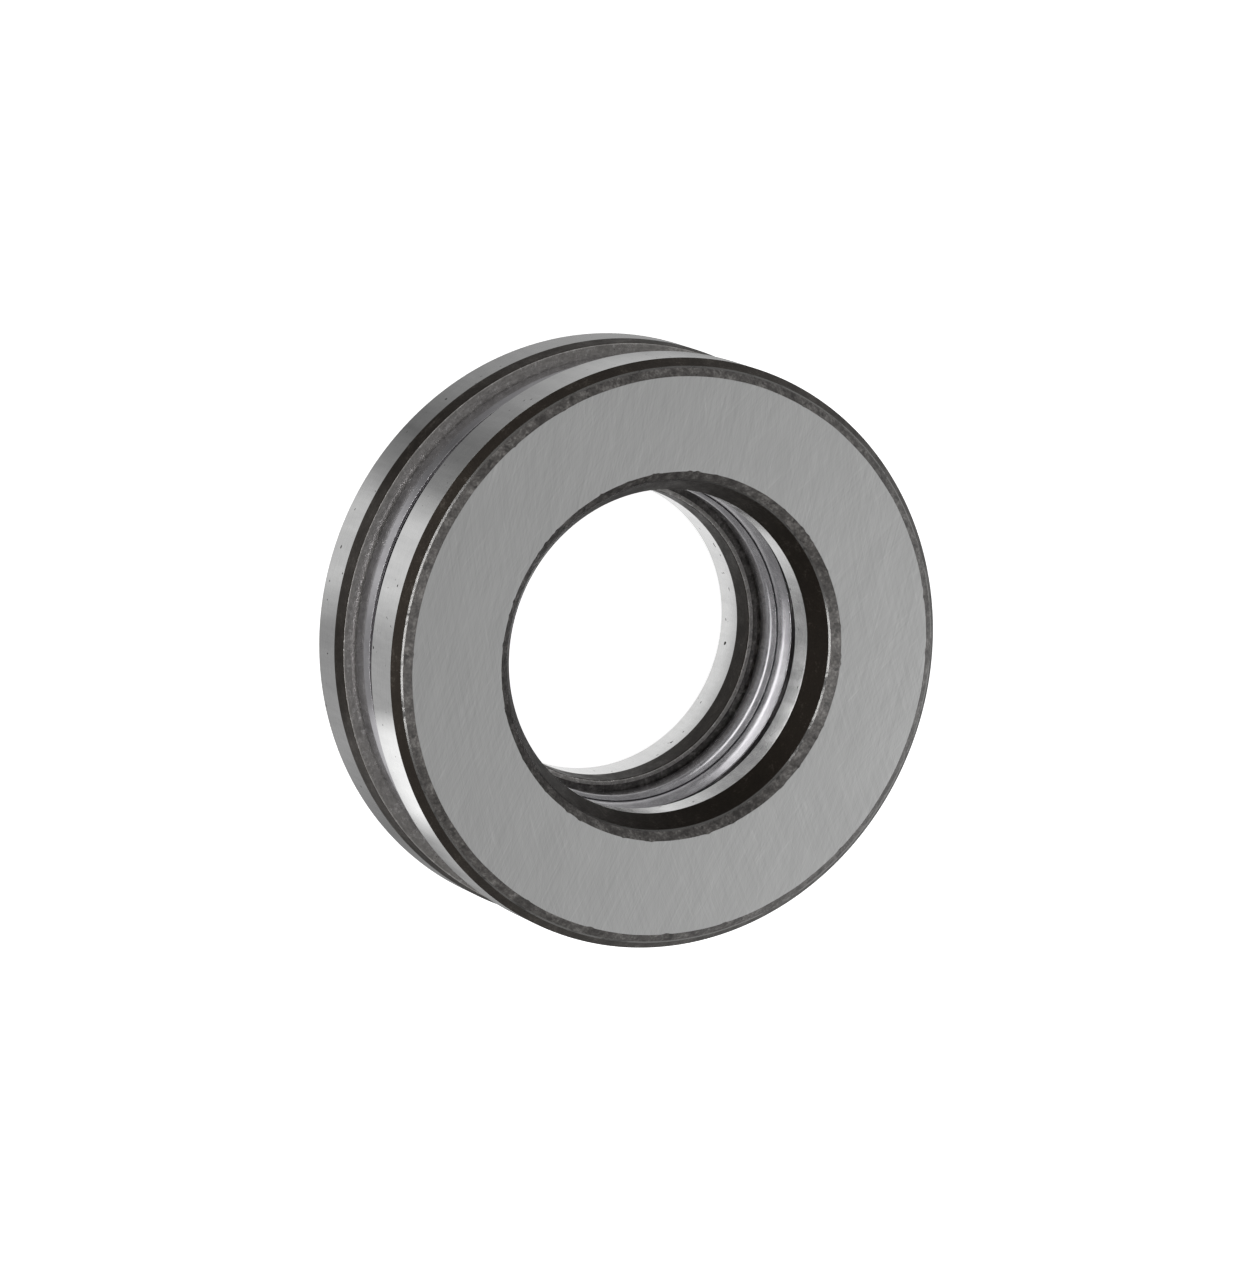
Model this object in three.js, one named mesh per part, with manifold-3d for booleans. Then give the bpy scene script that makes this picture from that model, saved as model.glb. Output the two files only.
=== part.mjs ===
// A single direction thrust ball bearing, 20 x 40 x 14 mm, lying flat.
// Millimetres, +Z up. The origin is on the bearing's axis, in the seating face of the lower washer.
// From the bottom: shaft washer, cage with its balls, housing washer.
import * as THREE from "three";
import { mergeVertices } from "three/addons/utils/BufferGeometryUtils.js";
import Module from "manifold-3d";

// Driving dimensions.
const HEIGHT = 14;
const OUTER_RADIUS = 20;
const SHAFT_WASHER_BORE = 10;
const HOUSING_WASHER_BORE = 11;
const WASHER_THICKNESS = 4.6;
const BALL_COUNT = 12;
const BALL_RADIUS = 3.572;
const PITCH_RADIUS = 14.95;
const RUNNING_GAP = 0.06; // between a ball and the bottom of its groove
const GROOVE_CONFORMITY = 1.08; // the groove's radius over the ball's

// The corners of the washers, from seat to race side. Each point is how far it lies in from the sharp corner:
// [along the radius, along the axis].
const SHAFT_CORNERS = {
  backBore: [[0.8, 0], [0.3, 0.15], [0, 0.49]],
  raceBore: [[0, 1.65], [0.12, 0]],
  backRim: [[0.9, 0], [0.4, 0.25], [0, 0.7]],
  raceRim: [[0, 1.25], [0.14, 0]],
};
const HOUSING_CORNERS = {
  backBore: [[1.5, 0], [0.86, 0.55], [0, 2.15]],
  raceBore: [[0, 0.6], [0.4, 0]],
  backRim: [[1.1, 0], [0.52, 0.42], [0, 1.12]],
  raceRim: [[0, 0.28], [0.28, 0]],
};

// The cage: two pressed shells of thin sheet, the lower one's rims closed over the upper one's.
const SHEET = 0.25;
const SHELL_FIT = 0.04; // between the rims of the two shells
const CAGE_BOTTOM = 4.75;
const CAGE_TOP = 8.7;
const CAGE_INNER = 10.8;
const CAGE_OUTER = 19.1;
const LOWER_RIM_TOP = 7.05;
const UPPER_RIM_FOOT = 5.4;
const BEND = 0.35; // outer radius of the shells' bends
const POCKET_RADIUS = 3.32;
const PUNCH_LENGTH = 2; // half of it on each side of the web's flat face

// Facets.
const TURN_SEGMENTS = 48;
const POCKET_SEGMENTS = 20;
const BALL_DETAIL = 2;
const GROOVE_STEPS = 8;
const BEND_STEPS = 3;

const groundSteel = new THREE.MeshStandardMaterial({ color: 0x9a9a98, roughness: 0.34, metalness: 1 });
const ballSteel = new THREE.MeshStandardMaterial({ color: 0xd6d8da, roughness: 0.06, metalness: 1 });
const pressedSteel = new THREE.MeshStandardMaterial({ color: 0x8a888c, roughness: 0.3, metalness: 1 });

const middle = HEIGHT / 2;

// Points on an arc in the (radius, height) plane, angles in degrees from the outward direction.
function arc(centreR, centreZ, radius, fromDegrees, toDegrees, steps) {
  return Array.from({ length: steps + 1 }, (_, i) => {
    const angle = THREE.MathUtils.degToRad(fromDegrees + ((toDegrees - fromDegrees) * i) / steps);
    return [centreR + radius * Math.cos(angle), centreZ + radius * Math.sin(angle)];
  });
}

// A body of revolution about Z from an outline of [radius, height] points.
function turned(outline) {
  const closed = [...outline, outline[0]].map(([r, z]) => new THREE.Vector2(r, z));
  return new THREE.LatheGeometry(closed, TURN_SEGMENTS).rotateX(Math.PI / 2);
}

// A washer with its flat seat at height 0 and its ball groove facing up.
function washer(bore, { backBore, raceBore, backRim, raceRim }) {
  const grooveRadius = BALL_RADIUS * GROOVE_CONFORMITY;
  const grooveBottom = middle - BALL_RADIUS - RUNNING_GAP;
  const grooveCentre = grooveBottom + grooveRadius;
  const grooveLip = THREE.MathUtils.radToDeg(Math.asin((WASHER_THICKNESS - grooveCentre) / grooveRadius));
  return turned([
    ...backRim.map(([r, z]) => [OUTER_RADIUS - r, z]),
    ...raceRim.map(([r, z]) => [OUTER_RADIUS - r, WASHER_THICKNESS - z]),
    ...arc(PITCH_RADIUS, grooveCentre, grooveRadius, grooveLip, -180 - grooveLip, GROOVE_STEPS),
    ...raceBore.toReversed().map(([r, z]) => [bore + r, WASHER_THICKNESS - z]),
    ...backBore.toReversed().map(([r, z]) => [bore + r, z]),
  ]);
}

// A pressed shell without its pockets: a flat ring at height 0 whose two edges bend up into rims.
function shellBlank({ inner, outer, rim }) {
  const inside = BEND - SHEET;
  return turned([
    ...arc(inner + BEND, BEND, BEND, 180, 270, BEND_STEPS),
    ...arc(outer - BEND, BEND, BEND, -90, 0, BEND_STEPS),
    [outer, rim],
    [outer - SHEET, rim],
    ...arc(outer - BEND, BEND, inside, 0, -90, BEND_STEPS),
    ...arc(inner + BEND, BEND, inside, 270, 180, BEND_STEPS),
    [inner + SHEET, rim],
    [inner, rim],
  ]);
}

const wasm = await Module();
wasm.setup();

// A geometry as a solid that can be cut.
function solid(geometry) {
  const bare = geometry.clone();
  bare.deleteAttribute("normal");
  bare.deleteAttribute("uv");
  const merged = mergeVertices(bare, 1e-4);
  return new wasm.Manifold(
    new wasm.Mesh({
      numProp: 3,
      vertProperties: merged.getAttribute("position").array,
      triVerts: new Uint32Array(merged.index.array),
    }),
  );
}

// A cut solid back as a geometry.
function geometryOf(cut) {
  const { vertProperties, triVerts } = cut.getMesh();
  const geometry = new THREE.BufferGeometry();
  geometry.setAttribute("position", new THREE.BufferAttribute(vertProperties, 3));
  geometry.setIndex(new THREE.BufferAttribute(triVerts, 1));
  geometry.computeVertexNormals();
  return geometry;
}

function ballAngle(index) {
  return (2 * Math.PI * index) / BALL_COUNT;
}

// A shell with a round pocket through its ring at every ball.
function shell(size) {
  let cut = solid(shellBlank(size));
  for (let i = 0; i < BALL_COUNT; i++) {
    const pocket = new THREE.CylinderGeometry(POCKET_RADIUS, POCKET_RADIUS, PUNCH_LENGTH, POCKET_SEGMENTS);
    pocket.rotateX(Math.PI / 2).translate(PITCH_RADIUS, 0, 0).rotateZ(ballAngle(i));
    cut = cut.subtract(solid(pocket));
  }
  return geometryOf(cut);
}

function mesh(name, geometry, material) {
  const made = new THREE.Mesh(geometry, material);
  made.name = name;
  return made;
}

const bearing = new THREE.Group();

bearing.add(mesh("shaft_washer", washer(SHAFT_WASHER_BORE, SHAFT_CORNERS), groundSteel));

const housingWasher = mesh("housing_washer", washer(HOUSING_WASHER_BORE, HOUSING_CORNERS), groundSteel);
housingWasher.rotation.x = Math.PI;
housingWasher.position.z = HEIGHT;
bearing.add(housingWasher);

const lowerShell = shell({
  inner: CAGE_INNER,
  outer: CAGE_OUTER,
  rim: LOWER_RIM_TOP - CAGE_BOTTOM,
});
const cageLower = mesh("cage_lower_shell", lowerShell, pressedSteel);
cageLower.position.z = CAGE_BOTTOM;
bearing.add(cageLower);

const upperShell = shell({
  inner: CAGE_INNER + SHEET + SHELL_FIT,
  outer: CAGE_OUTER - SHEET - SHELL_FIT,
  rim: CAGE_TOP - UPPER_RIM_FOOT,
});
const cageUpper = mesh("cage_upper_shell", upperShell, pressedSteel);
cageUpper.rotation.x = Math.PI;
cageUpper.position.z = CAGE_TOP;
bearing.add(cageUpper);

for (let i = 0; i < BALL_COUNT; i++) {
  const name = `ball_${String(i + 1).padStart(2, "0")}`;
  const ball = mesh(name, new THREE.IcosahedronGeometry(BALL_RADIUS, BALL_DETAIL), ballSteel);
  ball.rotation.z = ballAngle(i);
  ball.position.set(PITCH_RADIUS * Math.cos(ballAngle(i)), PITCH_RADIUS * Math.sin(ballAngle(i)), middle);
  bearing.add(ball);
}

export default bearing;
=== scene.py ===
"""A thrust ball bearing, 20 x 40 x 14 mm, lying on a pale floor.

Sizes are in millimetres until a mesh is made.
"""

import math
import random

import bmesh
import bpy
import numpy as np
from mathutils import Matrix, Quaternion, Vector


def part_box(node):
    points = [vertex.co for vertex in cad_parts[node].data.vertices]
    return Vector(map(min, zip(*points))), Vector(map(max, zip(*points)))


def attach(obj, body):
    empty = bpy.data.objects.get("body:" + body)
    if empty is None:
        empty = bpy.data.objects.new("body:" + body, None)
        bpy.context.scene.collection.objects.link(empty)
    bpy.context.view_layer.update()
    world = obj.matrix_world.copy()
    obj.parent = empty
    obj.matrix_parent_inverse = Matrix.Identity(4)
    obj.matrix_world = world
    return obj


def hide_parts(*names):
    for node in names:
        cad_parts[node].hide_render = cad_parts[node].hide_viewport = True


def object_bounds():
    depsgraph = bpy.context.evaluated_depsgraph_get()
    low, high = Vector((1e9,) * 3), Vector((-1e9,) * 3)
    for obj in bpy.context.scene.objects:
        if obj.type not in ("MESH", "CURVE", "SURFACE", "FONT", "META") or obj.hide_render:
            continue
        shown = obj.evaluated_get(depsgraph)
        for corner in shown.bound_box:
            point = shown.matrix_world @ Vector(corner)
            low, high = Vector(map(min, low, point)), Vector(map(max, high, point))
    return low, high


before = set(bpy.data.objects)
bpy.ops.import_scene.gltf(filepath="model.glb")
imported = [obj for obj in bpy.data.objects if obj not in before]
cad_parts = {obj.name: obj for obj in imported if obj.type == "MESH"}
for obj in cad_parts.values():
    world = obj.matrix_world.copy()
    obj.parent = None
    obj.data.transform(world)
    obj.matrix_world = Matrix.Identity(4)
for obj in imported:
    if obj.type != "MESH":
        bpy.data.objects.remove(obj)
CAD_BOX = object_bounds()
MM = 0.001

# What the frame gives.
LOW, HIGH = (np.array(corner) / MM for corner in CAD_BOX)
HEIGHT = HIGH[2] - LOW[2]
OUTER_RADIUS = HIGH[0]
MIDDLE = HEIGHT / 2
WASHER_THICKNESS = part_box("shaft_washer")[1].z / MM
CAGE_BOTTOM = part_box("cage_lower_shell")[0].z / MM
LOWER_RIM_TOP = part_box("cage_lower_shell")[1].z / MM
UPPER_RIM_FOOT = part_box("cage_upper_shell")[0].z / MM
CAGE_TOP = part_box("cage_upper_shell")[1].z / MM
CAGE_OUTER_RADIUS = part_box("cage_lower_shell")[1].x / MM
SHELL_STEP = CAGE_OUTER_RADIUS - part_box("cage_upper_shell")[1].x / MM  # from one shell's rims to the other's
BALLS = sorted(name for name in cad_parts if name.startswith("ball_"))
BALL_CENTRES = [sum(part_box(name), Vector()) / 2 / MM for name in BALLS]

# Sizes that the boxes don't show, as in the CAD model.
BALL_RADIUS = 3.572
PITCH_RADIUS = 14.95
GROOVE_RADIUS = 1.08 * BALL_RADIUS
RUNNING_GAP = 0.06
HOUSING_BORE_RADIUS = 11.0
SHAFT_BORE_RADIUS = 10.0
SHEET = 0.25
CAGE_INNER_RADIUS = 10.8
BEND = 0.35
POCKET_RADIUS = 3.32
PUNCH_REACH = 1.0  # above and below the web
HOUSING_SEAT = (HOUSING_BORE_RADIUS + 1.5, OUTER_RADIUS - 1.1)  # the seat's inner and outer radius
SHAFT_SEAT = (SHAFT_BORE_RADIUS + 0.8, OUTER_RADIUS - 0.9)

# Mesh fineness.
TURN_SEGMENTS = 720
CAGE_SEGMENTS = 480
FILLET_STEPS = 10
GROOVE_STEPS = 40
POCKET_SEGMENTS = 96

scene = bpy.context.scene


# ---------------------------------------------------------------- camera

VIEW_ELEVATION = math.radians(63.2)
VIEW_ROLL = math.radians(111.75)
VIEW_DISTANCE = 536.6
FACE_RIGHT = 2.93  # the upper seat's centre from the picture's middle
FACE_UP = -1.14
LENS_MM = 226.4


def make_camera():
    camera = bpy.data.objects.new("camera", bpy.data.cameras.new("camera"))
    scene.collection.objects.link(camera)
    back = Vector((0, -math.cos(VIEW_ELEVATION), math.sin(VIEW_ELEVATION)))
    turn = (-back).to_track_quat("-Z", "Y") @ Quaternion((0, 0, 1), VIEW_ROLL)
    face_centre = Vector((0, 0, HEIGHT))
    camera.rotation_mode = "QUATERNION"
    camera.rotation_quaternion = turn
    camera.location = (face_centre - turn @ Vector((FACE_RIGHT, FACE_UP, -VIEW_DISTANCE))) * MM
    camera.data.lens = LENS_MM
    camera.data.clip_start = 0.01
    camera.data.clip_end = 10
    scene.camera = camera


make_camera()


# ---------------------------------------------------------------- nodes

def node(tree, kind, inputs=None, **settings):
    """A new node. Each of its inputs is given a value, or the socket that drives it."""
    made = tree.nodes.new(kind)
    for key, value in settings.items():
        setattr(made, key, value)
    for key, value in (inputs or {}).items():
        if isinstance(value, bpy.types.NodeSocket):
            tree.links.new(value, made.inputs[key])
        else:
            made.inputs[key].default_value = value
    return made


def maths(tree, operation, a, b):
    return node(tree, "ShaderNodeMath", {0: a, 1: b}, operation=operation).outputs[0]


def vector_maths(tree, operation, a, b=(0, 0, 0)):
    made = node(tree, "ShaderNodeVectorMath", {0: a, 1: b}, operation=operation)
    return made.outputs["Value" if operation in ("LENGTH", "DISTANCE") else "Vector"]


def spread(tree, value, low, high, to_low=0.0, to_high=1.0):
    """value, mapped smoothly from low..high to to_low..to_high."""
    inputs = {"Value": value, "From Min": low, "From Max": high, "To Min": to_low, "To Max": to_high}
    return node(tree, "ShaderNodeMapRange", inputs, interpolation_type="SMOOTHSTEP").outputs[0]


def ramp(tree, factor, stops):
    """A colour ramp. Each stop is (place, grey) or (place, (r, g, b))."""
    made = node(tree, "ShaderNodeValToRGB", {0: factor})
    elements = made.color_ramp.elements
    while len(elements) < len(stops):
        elements.new(0.5)
    for element, (place, colour) in zip(elements, stops):
        element.position = place
        element.color = (*colour, 1) if isinstance(colour, tuple) else (colour, colour, colour, 1)
    return made.outputs["Color"]


def mix(tree, factor, a, b, blend="MIX"):
    made = node(tree, "ShaderNodeMix", {0: factor, 6: a, 7: b}, data_type="RGBA", blend_type=blend)
    return made.outputs[2]


def millimetres(tree):
    """The place on the piece, in millimetres."""
    place = node(tree, "ShaderNodeTexCoord").outputs["Object"]
    return vector_maths(tree, "MULTIPLY", place, (1 / MM,) * 3)


SEED_STEP = (17.3, 5.7, 11.1)  # from one seed's stretch of noise to the next one's


def noise(tree, place, scale, seed, detail=2.0, rough=0.5, stretch=(1, 1, 1), warp=0.0):
    """Noise of about scale features per millimetre."""
    moved = vector_maths(tree, "MULTIPLY", place, stretch)
    moved = vector_maths(tree, "ADD", moved, tuple(seed * step for step in SEED_STEP))
    inputs = {"Vector": moved, "Scale": scale, "Detail": detail, "Roughness": rough, "Distortion": warp}
    return node(tree, "ShaderNodeTexNoise", inputs).outputs[0]


RISE = 1.7  # what a step in height counts for, against the same step in radius


def around(tree, place, turns):
    """Coordinates on which noise runs in rings about the axis: the cosine and the sine of the angle, both
    times turns, and radius and height added up."""
    parts = node(tree, "ShaderNodeSeparateXYZ", {0: place})
    flat = vector_maths(tree, "MULTIPLY", place, (1, 1, 0))
    radius = vector_maths(tree, "LENGTH", flat)
    unit = vector_maths(tree, "NORMALIZE", flat)
    wide = vector_maths(tree, "MULTIPLY", unit, (turns, turns, 0))
    across = maths(tree, "ADD", radius, maths(tree, "MULTIPLY", parts.outputs[2], RISE))
    lifted = node(tree, "ShaderNodeCombineXYZ", {2: across}).outputs[0]
    return vector_maths(tree, "ADD", wide, lifted)


def blank(name):
    """A new material with an empty node tree, and that tree."""
    made = bpy.data.materials.new(name)
    made.use_nodes = True
    made.node_tree.nodes.clear()
    return made, made.node_tree


def surface(tree, colour, roughness, metallic=1.0, bumps=(), **settings):
    """Ends a material with its shader. bumps are pairs of a height and the depth in mm that 1 stands for."""
    normal = {}
    for height, depth in bumps:
        inputs = {"Height": height, "Distance": depth * MM, "Strength": 1.0, **normal}
        normal = {"Normal": node(tree, "ShaderNodeBump", inputs).outputs[0]}
    inputs = {"Base Color": colour, "Roughness": roughness, "Metallic": metallic, **settings, **normal}
    shader = node(tree, "ShaderNodeBsdfPrincipled", inputs)
    node(tree, "ShaderNodeOutputMaterial", {"Surface": shader.outputs[0]})


# ---------------------------------------------------------------- materials

def arcs(tree, place, centre, spacing, length, seed):
    """Fine lines on long arcs about a far centre, as a grinding wheel leaves them. spacing and length are the
    lines' own, in mm."""
    away = vector_maths(tree, "SUBTRACT", place, (*centre, 0))
    flat = vector_maths(tree, "MULTIPLY", away, (1, 1, 0))
    distance = vector_maths(tree, "LENGTH", flat)
    unit = vector_maths(tree, "NORMALIZE", flat)
    reach = math.hypot(*centre) / length
    along = vector_maths(tree, "MULTIPLY", unit, (reach, reach, 0))
    across = maths(tree, "DIVIDE", distance, spacing)
    lifted = node(tree, "ShaderNodeCombineXYZ", {2: across}).outputs[0]
    return noise(tree, vector_maths(tree, "ADD", along, lifted), 1.0, seed, detail=3.0, rough=0.6)


def ground_seat():
    """Surface ground steel: crossing arcs of fine scratches, most near one direction, and a few deeper."""
    made, tree = blank("ground_seat")
    place = millimetres(tree)
    # Each set of lines is its far centre, spacing, length and seed.
    passes = [((-25, 118), 0.06, 9, 1), ((9, -130), 0.07, 9, 2),
              ((29, 108), 0.065, 6, 3), ((-60, 86), 0.08, 5, 4)]
    strokes = [((-20, 140), 0.16, 4, 5), ((40, 115), 0.17, 3, 6), ((-70, 90), 0.17, 2.5, 7)]
    grain = [arcs(tree, place, *lines) for lines in passes]
    fine = grain[0]
    for other in grain[1:]:
        fine = maths(tree, "ADD", fine, other)
    fine = maths(tree, "MULTIPLY", fine, 1 / len(grain))
    deep = 0.0
    for lines in strokes:
        line = spread(tree, arcs(tree, place, *lines), 0.62, 0.72)
        deep = maths(tree, "MAXIMUM", deep, line)
    cloud = noise(tree, place, 0.4, 8, detail=3.0)
    tone = maths(tree, "ADD", fine, maths(tree, "MULTIPLY", deep, 0.09))
    tone = maths(tree, "ADD", tone, maths(tree, "MULTIPLY", cloud, 0.06))
    colour = ramp(tree, tone, [(0.42, (0.45, 0.452, 0.45)), (0.66, (0.57, 0.572, 0.568))])
    rough = spread(tree, fine, 0.4, 0.6, 0.42, 0.36)
    surface(tree, colour, rough, bumps=[(fine, 0.0016), (deep, -0.0008)])
    return made


def ground_land():
    """A cylindrical surface ground round: very fine rings, a few axial marks and small black spots."""
    made, tree = blank("ground_land")
    place = millimetres(tree)
    rings = noise(tree, around(tree, place, 3.0), 9.0, 1, detail=3.0, rough=0.65)
    marks = noise(tree, place, 0.9, 2, detail=3.0, rough=0.7, stretch=(1, 1, 0.12))
    stain = noise(tree, place, 0.5, 3, detail=5.0, rough=0.7)
    spot = spread(tree, noise(tree, place, 2.2, 4, detail=1.0), 0.74, 0.78)
    tone = maths(tree, "ADD", maths(tree, "MULTIPLY", rings, 0.4), maths(tree, "MULTIPLY", marks, 0.6))
    colour = ramp(tree, tone, [(0.3, (0.56, 0.56, 0.56)), (0.7, (0.74, 0.74, 0.735))])
    colour = mix(tree, spot, colour, (0.02, 0.018, 0.016, 1))
    rough = spread(tree, maths(tree, "ADD", marks, stain), 0.7, 1.3, 0.14, 0.22)
    surface(tree, colour, rough, bumps=[(rings, 0.0008), (marks, 0.003)])
    return made


def heat_scale():
    """Unground steel under brown-black scale from heat treatment: finely pitted, with a few rubbed spots."""
    made, tree = blank("heat_scale")
    place = millimetres(tree)
    blotch = noise(tree, place, 0.9, 1, detail=5.0, rough=0.65)
    grit = noise(tree, place, 7.0, 2, detail=3.0, rough=0.6)
    rings = noise(tree, around(tree, place, 6.0), 5.0, 3, detail=2.0)
    tone = maths(tree, "ADD", maths(tree, "MULTIPLY", blotch, 0.6), maths(tree, "MULTIPLY", grit, 0.4))
    colour = ramp(tree, tone, [(0.38, (0.004, 0.003, 0.0022)), (0.56, (0.009, 0.007, 0.0052)),
                               (0.68, (0.04, 0.035, 0.03))])
    rough = spread(tree, tone, 0.38, 0.65, 0.5, 0.36)
    inputs = {"Specular IOR Level": 0.22, "Specular Tint": (1.0, 0.86, 0.74, 1)}
    surface(tree, colour, rough, 0.0, [(grit, 0.01), (rings, 0.006)], **inputs)
    return made


def rubbed_scale_and_painted_shade():
    """The chamfers next to the seats: scale worn to a mottled dark grey, with small black spots left. Also
    painted shade on the shaft washer's race face between the groove and the bore, beside the foot of the cage.
    """
    made, tree = blank("rubbed_scale_and_painted_shade")
    place = millimetres(tree)
    blotch = noise(tree, place, 1.4, 4, detail=5.0, rough=0.7)
    grit = noise(tree, place, 6.0, 5, detail=3.0, rough=0.6)
    spot = spread(tree, noise(tree, place, 1.9, 6, detail=2.0), 0.6, 0.68)
    tone = maths(tree, "ADD", maths(tree, "MULTIPLY", blotch, 0.65), maths(tree, "MULTIPLY", grit, 0.35))
    colour = ramp(tree, tone, [(0.4, (0.024, 0.02, 0.018)), (0.52, (0.075, 0.069, 0.064)),
                               (0.64, (0.2, 0.19, 0.18))])
    colour = mix(tree, maths(tree, "MULTIPLY", spot, 0.8), colour, (0.012, 0.01, 0.008, 1))
    rough = spread(tree, tone, 0.38, 0.62, 0.38, 0.28)
    surface(tree, colour, rough, 0.35, [(grit, 0.006), (blotch, 0.012)], IOR=1.8)
    return made


def worn_break():
    """The blunt edge between a chamfer and the corner's steep part: dark scale, rubbed glossy in patches."""
    made, tree = blank("worn_break")
    place = millimetres(tree)
    patch = noise(tree, place, 0.28, 1, detail=3.0, rough=0.6)
    chips = noise(tree, place, 3.0, 2, detail=3.0, rough=0.65)
    rubbed = spread(tree, maths(tree, "ADD", patch, maths(tree, "MULTIPLY", chips, 0.5)), 0.62, 0.76)
    colour = mix(tree, rubbed, (0.02, 0.018, 0.016, 1), (0.09, 0.087, 0.083, 1))
    rough = spread(tree, rubbed, 0.0, 1.0, 0.45, 0.21)
    surface(tree, colour, rough, 0.35, [(chips, 0.006)], IOR=1.7)
    return made


def race_side():
    """The unground face round the groove, turned and heat treated: grey, mottled and speckled with light."""
    made, tree = blank("race_side")
    place = millimetres(tree)
    blotch = noise(tree, place, 1.2, 1, detail=5.0, rough=0.7)
    rings = noise(tree, around(tree, place, 8.0), 6.0, 2, detail=3.0)
    grit = noise(tree, place, 4.0, 4, detail=2.0)
    speck = spread(tree, noise(tree, place, 3.2, 3, detail=2.0), 0.58, 0.7)
    tone = maths(tree, "ADD", maths(tree, "MULTIPLY", blotch, 0.6), maths(tree, "MULTIPLY", rings, 0.4))
    colour = ramp(tree, tone, [(0.35, (0.26, 0.25, 0.24)), (0.65, (0.5, 0.485, 0.47))])
    colour = mix(tree, maths(tree, "MULTIPLY", speck, 0.6), colour, (0.66, 0.65, 0.64, 1))
    rough = spread(tree, blotch, 0.35, 0.65, 0.36, 0.26)
    surface(tree, colour, rough, 0.7, [(rings, 0.003), (grit, 0.03)])
    return made


def raceway():
    """The honed ball groove, with faint rings and cloudy stains."""
    made, tree = blank("raceway")
    place = millimetres(tree)
    rings = noise(tree, around(tree, place, 4.0), 12.0, 1, detail=3.0, rough=0.6)
    cloud = noise(tree, place, 0.6, 2, detail=3.0)
    colour = ramp(tree, cloud, [(0.3, (0.55, 0.55, 0.555)), (0.7, (0.66, 0.66, 0.66))])
    rough = spread(tree, rings, 0.3, 0.7, 0.09, 0.17)
    surface(tree, colour, rough, bumps=[(rings, 0.0006)])
    return made


def cage_sheet():
    """Cold rolled sheet after pressing: smooth, faintly purple, with drawing lines and small scuffs."""
    made, tree = blank("cage_sheet")
    place = millimetres(tree)
    rings = noise(tree, around(tree, place, 2.5), 6.0, 1, detail=3.0, rough=0.6)
    cloud = noise(tree, place, 0.7, 2, detail=4.0, rough=0.6)
    scuff = spread(tree, noise(tree, place, 2.2, 3, detail=3.0, rough=0.7), 0.62, 0.75)
    colour = ramp(tree, cloud, [(0.3, (0.375, 0.366, 0.384)), (0.7, (0.475, 0.468, 0.484))])
    colour = mix(tree, maths(tree, "MULTIPLY", scuff, 0.35), colour, (0.16, 0.15, 0.15, 1))
    rough = spread(tree, maths(tree, "ADD", rings, cloud), 0.7, 1.3, 0.17, 0.25)
    surface(tree, colour, rough, bumps=[(rings, 0.0004), (cloud, 0.003)])
    return made


def ball_steel():
    """Lapped balls: nearly a mirror, with the haze and hairlines of lapping."""
    made, tree = blank("ball_steel")
    place = millimetres(tree)
    haze = noise(tree, place, 0.8, 1, detail=4.0)
    hair = noise(tree, place, 3.0, 2, detail=2.0, stretch=(0.2, 1, 6), warp=1.5)
    colour = ramp(tree, haze, [(0.3, (0.72, 0.73, 0.74)), (0.7, (0.8, 0.805, 0.81))])
    rough = spread(tree, maths(tree, "ADD", haze, hair), 0.7, 1.3, 0.04, 0.09)
    surface(tree, colour, rough, bumps=[(hair, 0.0004)])
    return made


FINISHES = {
    "seat": ground_seat(),
    "land": ground_land(),
    "scale": heat_scale(),
    "chamfer": rubbed_scale_and_painted_shade(),
    "worn": worn_break(),
    "side": race_side(),
    "race": raceway(),
    "sheet": cage_sheet(),
    "ball": ball_steel(),
}


# ---------------------------------------------------------------- turned pieces

def arc(centre, radius, start, end, steps):
    """Points (radius, height) on an arc, angles in degrees from the outward direction."""
    angles = np.radians(np.linspace(start, end, steps + 1))
    return [(centre[0] + radius * math.cos(a), centre[1] + radius * math.sin(a)) for a in angles]


FILLET_SHARE = 0.45  # the most of an edge that one fillet takes
LONG_EDGE = 2.0
SHORT_EDGE = 0.4  # up to this length an edge gets no points of its own


def edge_points(length):
    """Where an edge gets points of its own, from 0 to 1 along it, closer together towards its ends."""
    if length > LONG_EDGE:
        return (0.01, 0.025, 0.05, 0.1, 0.2, 0.35, 0.5, 0.65, 0.8, 0.9, 0.95, 0.975, 0.99)
    if length > SHORT_EDGE:
        return (0.08, 0.25, 0.5, 0.75, 0.92)
    return ()


def rounded(corners):
    """A closed outline with its corners filleted. Each corner is (radius, height, fillet, finish of the edge
    after it), and each of the points returned is (radius, height, finish of the strip after it)."""
    count = len(corners)
    cuts = []
    for i, (r, z, fillet, _) in enumerate(corners):
        here = np.array([r, z])
        before = np.array(corners[i - 1][:2]) - here
        after = np.array(corners[(i + 1) % count][:2]) - here
        before_length, after_length = np.linalg.norm(before), np.linalg.norm(after)
        before, after = before / before_length, after / after_length
        half = math.acos(max(-1.0, min(1.0, float(before @ after)))) / 2
        back = fillet / math.tan(half) if fillet else 0.0
        back = min(back, FILLET_SHARE * before_length, FILLET_SHARE * after_length)
        cuts.append((here, here + before * back, here + after * back))
    points = []
    for i, (here, start, end) in enumerate(cuts):
        finish_before, finish = corners[i - 1][3], corners[i][3]
        if np.allclose(start, end):
            points.append((*here, finish))
        else:
            for step in range(FILLET_STEPS + 1):
                t = step / FILLET_STEPS
                place = (1 - t) ** 2 * start + 2 * t * (1 - t) * here + t ** 2 * end
                points.append((*place, finish_before if t < 0.5 else finish))
        next_start = cuts[(i + 1) % count][1]
        for t in edge_points(np.linalg.norm(next_start - end)):
            points.append((*(end + (next_start - end) * t), finish))
    return points


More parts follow.
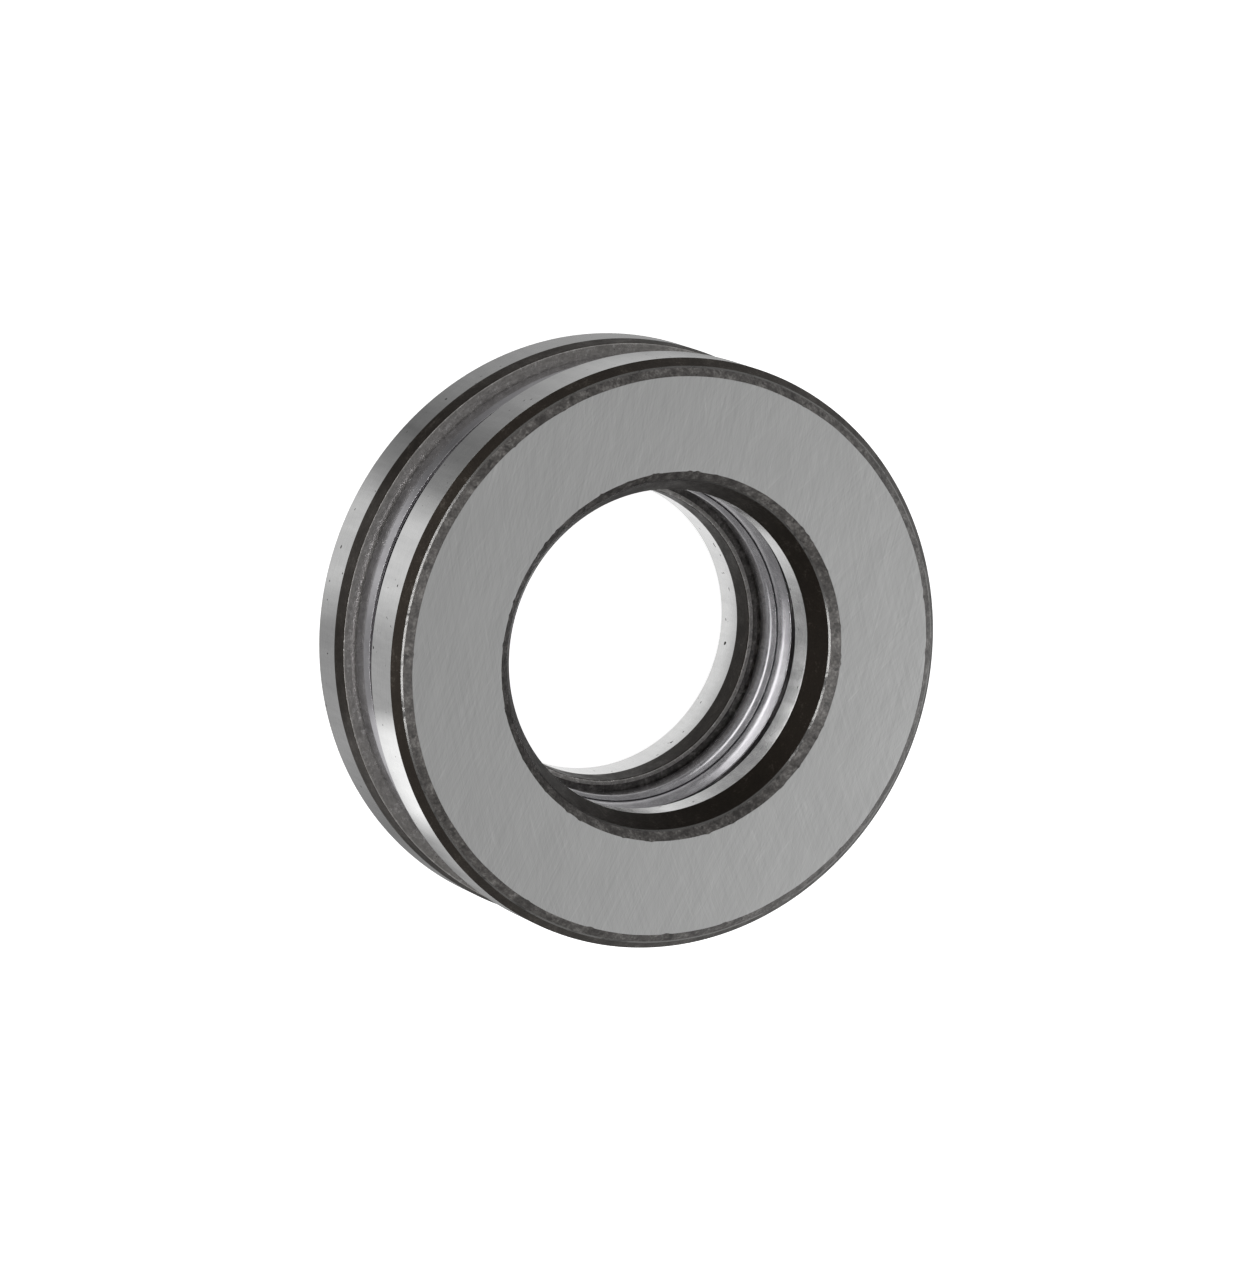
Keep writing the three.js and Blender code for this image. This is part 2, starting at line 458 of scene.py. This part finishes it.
def turned(name, outline, segments, wear=None):
    """A ring about Z from an outline of (radius, height, finish). wear moves its points: it takes their
    angles, radii and heights, and returns how much the radii and the heights change."""
    angle = np.arange(segments)[:, None] * 2 * math.pi / segments
    radius = np.array([p[0] for p in outline])[None, :] + 0 * angle
    height = np.array([p[1] for p in outline])[None, :] + 0 * angle
    if wear:
        wider, higher = wear(angle, radius, height)
        radius, height = radius + wider, height + higher
    places = np.stack([radius * np.cos(angle), radius * np.sin(angle), height], axis=-1).reshape(-1, 3) * MM
    count = len(outline)
    order = sorted({finish for _, _, finish in outline})
    faces, finishes = [], []
    for i in range(segments):
        here, there = i * count, (i + 1) % segments * count
        for j in range(count):
            after = (j + 1) % count
            faces.append((here + j, there + j, there + after, here + after))
            finishes.append(order.index(outline[j][2]))
    mesh = bpy.data.meshes.new(name)
    mesh.from_pydata(places.tolist(), [], faces)
    for finish in order:
        mesh.materials.append(FINISHES[finish])
    mesh.polygons.foreach_set("material_index", finishes)
    return shown(name, mesh)


def shown(name, mesh):
    """The mesh as an object, its faces pointing out and shaded smooth up to real corners."""
    made = bmesh.new()
    made.from_mesh(mesh)
    bmesh.ops.recalc_face_normals(made, faces=made.faces)
    made.to_mesh(mesh)
    made.free()
    mesh.shade_smooth()
    mesh.set_sharp_from_angle(angle=math.radians(35))
    piece = bpy.data.objects.new(name, mesh)
    scene.collection.objects.link(piece)
    return piece


def groove(after="side"):
    """A washer's ball groove as outline corners, from its outer lip to its inner one. after is the finish
    past the inner lip."""
    bottom = MIDDLE - BALL_RADIUS - RUNNING_GAP
    centre = (PITCH_RADIUS, bottom + GROOVE_RADIUS)
    lip = math.degrees(math.asin((WASHER_THICKNESS - centre[1]) / GROOVE_RADIUS))
    points = arc(centre, GROOVE_RADIUS, lip, -180 - lip, GROOVE_STEPS)
    corners = [(r, z, 0, "race") for r, z in points]
    corners[0] = (*points[0], 0.12, "race")
    corners[-1] = (*points[-1], 0.12, after)
    return corners


WEAR_WIDTH = 0.3  # how far the wear of a seat's edge reaches along the radius
WEAR_DEPTH = 0.5  # and along the axis
NICK_SINK = 0.35  # how far a nick sinks, against how far it reaches into the face
SINK_START = 0.2  # the depth at which it sinks fully; the seat itself stays flat
WAVES = 9


def edge_wear(seed, edges):
    """How a washer's seat edges wander, and where they are nicked. Each edge is (radius, way into the face,
    number of nicks)."""
    draw = random.Random(seed)
    plans = []
    for radius, way, nicks in edges:
        waves = [(draw.randint(3, 40), draw.uniform(0, 2 * math.pi), draw.uniform(0.001, 0.005))
                 for _ in range(WAVES)]
        bites = [(draw.uniform(0, 2 * math.pi), draw.uniform(0.08, 0.22) / radius, draw.uniform(0.03, 0.09))
                 for _ in range(nicks)]
        plans.append((radius, way, waves, bites))

    def wear(angle, radius, height):
        shift, sink = 0 * radius, 0 * radius
        for edge, way, waves, bites in plans:
            wander = sum(size * np.sin(turns * angle + phase) for turns, phase, size in waves)
            bite = 0 * angle
            for place, width, size in bites:
                apart = np.angle(np.exp(1j * (angle - place)))
                bite = np.maximum(bite, size * np.exp(-((apart / width) ** 2)))
            near = np.exp(-(((radius - edge) / WEAR_WIDTH) ** 2) - (height / WEAR_DEPTH) ** 2)
            shift = shift + way * near * (wander + bite)
            sink = sink + near * bite * NICK_SINK * np.clip(height / SINK_START, 0, 1)
        return shift, sink

    return wear


def housing_outline():
    """The housing washer's section with its seat at height 0. A flat is worn on the corner in the middle of
    each break beside the seat."""
    bore, rim, top = HOUSING_BORE_RADIUS, OUTER_RADIUS, WASHER_THICKNESS
    return rounded([
        (HOUSING_SEAT[0], 0, 0.04, "seat"),
        (HOUSING_SEAT[1], 0, 0.05, "chamfer"),
        (rim - 0.585, 0.373, 0.12, "worn"),
        (rim - 0.472, 0.484, 0.12, "scale"),
        (rim, 1.12, 0.06, "land"),
        (rim, top - 0.28, 0.06, "scale"),
        (rim - 0.28, top, 0.1, "side"),
        *groove(),
        (bore + 0.4, top, 0.15, "scale"),
        (bore, top - 0.6, 0.1, "land"),
        (bore, 2.15, 0.1, "scale"),
        (bore + 0.836, 0.594, 0.12, "worn"),
        (bore + 0.951, 0.472, 0.12, "chamfer"),
    ])


def shaft_outline():
    """The shaft washer's section with its seat at height 0."""
    bore, rim, top = SHAFT_BORE_RADIUS, OUTER_RADIUS, WASHER_THICKNESS
    return rounded([
        (SHAFT_SEAT[0], 0, 0.04, "seat"),
        (SHAFT_SEAT[1], 0, 0.04, "chamfer"),
        (rim - 0.4, 0.25, 0.2, "scale"),
        (rim, 0.7, 0.06, "land"),
        (rim, top - 1.25, 0.06, "scale"),
        (rim - 0.14, top, 0.12, "side"),
        # past the groove's inner lip the dark chamfer finish is painted shade beside the foot of the cage
        *groove("chamfer"),
        (bore + 0.42, top, 0, "side"),
        (bore + 0.12, top, 0.12, "scale"),
        (bore, top - 1.65, 0.06, "land"),
        (bore, 0.49, 0.06, "scale"),
        (bore + 0.3, 0.15, 0.15, "chamfer"),
    ])


def turn_over(piece):
    """Flips a washer, so that its seat is on top."""
    data = piece.data
    places = np.zeros(len(data.vertices) * 3)
    data.vertices.foreach_get("co", places)
    places = places.reshape(-1, 3) * (1, -1, -1) + (0, 0, HEIGHT * MM)
    data.vertices.foreach_set("co", places.ravel())
    data.update()


def stand_for(piece, body, node_name):
    """Puts a piece on a body, in the place of a CAD node."""
    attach(piece, body)
    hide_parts(node_name)


def make_washers():
    housing = turned("housing_washer_fine", housing_outline(), TURN_SEGMENTS,
                     edge_wear(7, [(HOUSING_SEAT[0], 1, 40), (HOUSING_SEAT[1], -1, 12)]))
    turn_over(housing)
    stand_for(housing, "housing_washer", "housing_washer")
    shaft = turned("shaft_washer_fine", shaft_outline(), TURN_SEGMENTS,
                   edge_wear(11, [(SHAFT_SEAT[0], 1, 20), (SHAFT_SEAT[1], -1, 10)]))
    stand_for(shaft, "shaft_washer", "shaft_washer")


make_washers()


# ---------------------------------------------------------------- cage

DRAFT_CURVE = 4.1  # radius of the upper shell's inner wall
DRAFT_BEND = 0.08  # where that wall meets the web
CRIMP_CURVE = 1.8  # radius of the inner rims where they are crimped


def shell_outline(inner, outer, base, rim, inner_crimp, outer_crimp, draft):
    """The section of a pressed shell: a flat web at height base whose edges bend towards rim. The rims are
    crimped towards each other, and thin down to their tips. Beside the web the inner wall curves in by draft.
    Each crimp and draft is (along the radius, along the axis)."""
    up = 1 if rim > base else -1
    depth = abs(rim - base)
    drawn, start = draft
    corners = [
        (inner + drawn, 0, DRAFT_BEND if drawn else BEND),
        (outer, 0, BEND),
        (outer, depth - outer_crimp[1], 0.2),
        (outer - outer_crimp[0], depth, 0.03),
        (outer - SHEET, depth, 0.01),
        (outer - SHEET, SHEET, BEND - SHEET),
        (inner + SHEET + drawn, SHEET, 0.02 if drawn else BEND - SHEET),
        (inner + SHEET, start, DRAFT_CURVE),
        (inner + SHEET, depth, 0.01),
        (inner + inner_crimp[0], depth, 0.03),
        (inner, depth - inner_crimp[1], CRIMP_CURVE),
        (inner, start, DRAFT_CURVE),
    ]
    return rounded([(r, base + up * z, fillet, "sheet") for r, z, fillet in corners])


def pocket_cutters(low, high):
    """One object of upright cylinders from low to high, one through each ball's place."""
    made = bmesh.new()
    radius = POCKET_RADIUS * MM
    for centre in BALL_CENTRES:
        result = bmesh.ops.create_cone(made, cap_ends=True, segments=POCKET_SEGMENTS,
                                       radius1=radius, radius2=radius, depth=(high - low) * MM)
        move = Vector((centre.x, centre.y, (low + high) / 2)) * MM
        bmesh.ops.translate(made, verts=result["verts"], vec=move)
    mesh = bpy.data.meshes.new("pocket_cutters")
    made.to_mesh(mesh)
    made.free()
    cutters = bpy.data.objects.new("pocket_cutters", mesh)
    scene.collection.objects.link(cutters)
    return cutters


def punch(piece, low, high):
    """Cuts the pockets out of a shell, from low to high."""
    cutters = pocket_cutters(low, high)
    cut = piece.modifiers.new("pockets", "BOOLEAN")
    cut.operation = "DIFFERENCE"
    cut.solver = "EXACT"
    cut.object = cutters
    graph = bpy.context.evaluated_depsgraph_get()
    mesh = bpy.data.meshes.new_from_object(piece.evaluated_get(graph))
    piece.modifiers.clear()
    piece.data = mesh
    bpy.data.objects.remove(cutters)
    mesh.shade_smooth()
    mesh.set_sharp_from_angle(angle=math.radians(35))


def make_shell(node_name, step, base, rim, inner_crimp, outer_crimp, draft):
    """One shell. Its walls lie step inside the faces of the cage."""
    inner, outer = CAGE_INNER_RADIUS + step, CAGE_OUTER_RADIUS - step
    outline = shell_outline(inner, outer, base, rim, inner_crimp, outer_crimp, draft)
    shell = turned(node_name + "_fine", outline, CAGE_SEGMENTS)
    punch(shell, base - PUNCH_REACH, base + PUNCH_REACH)
    stand_for(shell, "cage", node_name)


make_shell("cage_lower_shell", 0, CAGE_BOTTOM, LOWER_RIM_TOP,
           inner_crimp=(0.2, 0.6), outer_crimp=(0.07, 0.78), draft=(0, 1))
make_shell("cage_upper_shell", SHELL_STEP, CAGE_TOP, UPPER_RIM_FOOT,
           inner_crimp=(0.05, 0.2), outer_crimp=(0.05, 0.2), draft=(0.22, 1.05))


# ---------------------------------------------------------------- balls

def make_ball(name, centre):
    """A ball in the place of the CAD node called name."""
    made = bmesh.new()
    bmesh.ops.create_icosphere(made, subdivisions=6, radius=BALL_RADIUS * MM)
    mesh = bpy.data.meshes.new(name + "_fine")
    made.to_mesh(mesh)
    made.free()
    mesh.materials.append(FINISHES["ball"])
    ball = shown(name + "_fine", mesh)
    ball.location = centre * MM
    bpy.context.view_layer.update()
    stand_for(ball, name, name)


for ball_name, ball_centre in zip(BALLS, BALL_CENTRES):
    make_ball(ball_name, ball_centre)


# ---------------------------------------------------------------- studio

# Metres.
FLOOR_REACH = 3.0
CARD_REACH = 0.08
CARD_HEIGHT = -0.0005


def level_square(name, reach, height):
    """A level square mesh that reaches that far from the axis each way, in metres."""
    mesh = bpy.data.meshes.new(name)
    corners = [(-reach, -reach), (reach, -reach), (reach, reach), (-reach, reach)]
    mesh.from_pydata([(x, y, height) for x, y in corners], [], [(0, 1, 2, 3)])
    return mesh


def make_floor():
    """A plain pale floor."""
    mesh = level_square("floor", FLOOR_REACH, 0)
    finish, tree = blank("floor")
    inputs = {"Base Color": (0.92, 0.92, 0.92, 1), "Roughness": 1.0, "Specular IOR Level": 0.0,
              "Emission Color": (1, 1, 1, 1), "Emission Strength": 0.9}
    shader = node(tree, "ShaderNodeBsdfPrincipled", inputs)
    node(tree, "ShaderNodeOutputMaterial", {"Surface": shader.outputs[0]})
    mesh.materials.append(finish)
    floor = bpy.data.objects.new("floor", mesh)
    scene.collection.objects.link(floor)
    floor.visible_glossy = False


def compass_ramp(tree, way, stops):
    """Brightness by compass direction. Each stop is (degrees from +X, grey)."""
    fac = node(tree, "ShaderNodeTexGradient", {0: way}, gradient_type="RADIAL").outputs["Fac"]
    return ramp(tree, fac, [((degrees + 180) / 360, grey) for degrees, grey in stops])


# How bright the steel sees the card below it: painted reflections of light and shade round the bearing, and a
# painted highlight below the bore. Far from the bearing and near it this goes by compass direction, each stop
# (degrees from +X, grey), and below the bore by distance from the axis, each stop (millimetres, grey).
PAINTED_REFLECTION_FAR = [(-180, 0.62), (-160, 0.62), (-145, 0.45), (-118, 0.2), (-106, 0.3), (-96, 0.82), (-80, 0.82),
             (-70, 0.5), (-52, 0.48), (-46, 1.25), (-26, 1.35), (-18, 0.6), (0, 0.5), (180, 0.62)]
PAINTED_REFLECTION_NEAR = [(-180, 0.36), (-150, 0.4), (-130, 0.32), (-114, 0.18), (-104, 0.34), (-96, 0.72), (-80, 0.72),
              (-70, 0.38), (-45, 0.42), (-24, 0.24), (0, 0.3), (180, 0.36)]
PAINTED_REFLECTION_BORE = [(0.0, 0.4), (4.4, 0.3), (6.8, 0.3), (7.8, 0.52), (9.0, 0.95), (12.0, 0.95)]
# the spot below is the middle of a painted highlight, for the cage's inner walls to reflect
PAINTED_HIGHLIGHT_SPOT = (-0.4, 2.6, 0.0)  # the middle of the brightest patch below the bore
PALE = (0.95, 0.95, 0.95, 1)  # the table further off, and the tent up to the horizon


def make_painted_reflection_card():
    """A card just under the floor that only reflections see, in the floor's place. It glows with painted
    reflections of light and shade, and a painted highlight below the bore.
    """
    mesh = level_square("painted_reflection_card", CARD_REACH, CARD_HEIGHT)
    finish, tree = blank("painted_reflection_card")
    place = millimetres(tree)
    radius = vector_maths(tree, "LENGTH", vector_maths(tree, "MULTIPLY", place, (1, 1, 0)))
    widest = PAINTED_REFLECTION_BORE[-1][0]
    bore = ramp(tree, maths(tree, "DIVIDE", radius, widest), [(r / widest, grey) for r, grey in PAINTED_REFLECTION_BORE])
    # painted highlight: a bright patch below the bore
    spot = spread(tree, vector_maths(tree, "DISTANCE", place, PAINTED_HIGHLIGHT_SPOT), 1.0, 3.2, 3.6, 0.0)
    spot = maths(tree, "MULTIPLY", spot, spread(tree, radius, 3.2, 4.1, 1.0, 0.0))
    bore = mix(tree, 1.0, bore, spot, "LIGHTEN")
    # painted reflections and painted shade by compass direction, near the bearing and further off
    near = compass_ramp(tree, place, PAINTED_REFLECTION_NEAR)
    far = compass_ramp(tree, place, PAINTED_REFLECTION_FAR)
    outside = mix(tree, spread(tree, radius, 22.0, 24.0), near, far)
    outside = mix(tree, spread(tree, radius, 30.0, 40.0), outside, PALE)
    colour = mix(tree, spread(tree, radius, 11.0, 19.0), bore, outside)
    light = node(tree, "ShaderNodeEmission", {"Color": colour, "Strength": 1.0})
    node(tree, "ShaderNodeOutputMaterial", {"Surface": light.outputs[0]})
    mesh.materials.append(finish)
    card = bpy.data.objects.new("painted_reflection_card", mesh)
    scene.collection.objects.link(card)
    card.visible_camera = False
    card.visible_diffuse = False
    card.visible_shadow = False
    card.visible_transmission = False


# Brightness of the light tent above the horizon, by compass direction.
TENT_ABOVE = [(-180, 0.5), (-90, 0.35), (0, 0.5), (60, 0.44), (120, 0.44), (180, 0.5)]


def make_tent():
    """Plain soft light from all round: nearly white up to the horizon, greyer above it."""
    world = bpy.data.worlds.new("tent")
    scene.world = world
    world.use_nodes = True
    tree = world.node_tree
    tree.nodes.clear()
    way = node(tree, "ShaderNodeTexCoord").outputs["Generated"]
    height = node(tree, "ShaderNodeSeparateXYZ", {0: way}).outputs[2]
    above = compass_ramp(tree, way, TENT_ABOVE)
    colour = mix(tree, spread(tree, height, -0.05, 0.1), PALE, above)
    light = node(tree, "ShaderNodeBackground", {"Color": colour, "Strength": 1.0})
    node(tree, "ShaderNodeOutputWorld", {"Surface": light.outputs[0]})


def make_softbox(name, compass, elevation, distance, size, power):
    """A soft light aimed at the bearing from a compass direction and elevation, in degrees. distance and size
    are in metres."""
    lamp = bpy.data.lights.new(name, "AREA")
    lamp.shape = "RECTANGLE"
    lamp.size, lamp.size_y = size
    lamp.energy = power
    made = bpy.data.objects.new(name, lamp)
    scene.collection.objects.link(made)
    a, e = math.radians(compass), math.radians(elevation)
    way = Vector((math.cos(a) * math.cos(e), math.sin(a) * math.cos(e), math.sin(e)))
    made.location = Vector((0, 0, MIDDLE * MM)) + way * distance
    made.rotation_mode = "QUATERNION"
    made.rotation_quaternion = (-way).to_track_quat("-Z", "Y")


make_floor()
make_painted_reflection_card()
make_tent()
make_softbox("key", -76, 24, 0.5, (0.7, 0.05), 1.5)
make_softbox("top", 90, 46, 0.3, (0.12, 0.1), 0.054)
scene.view_settings.view_transform = "Standard"
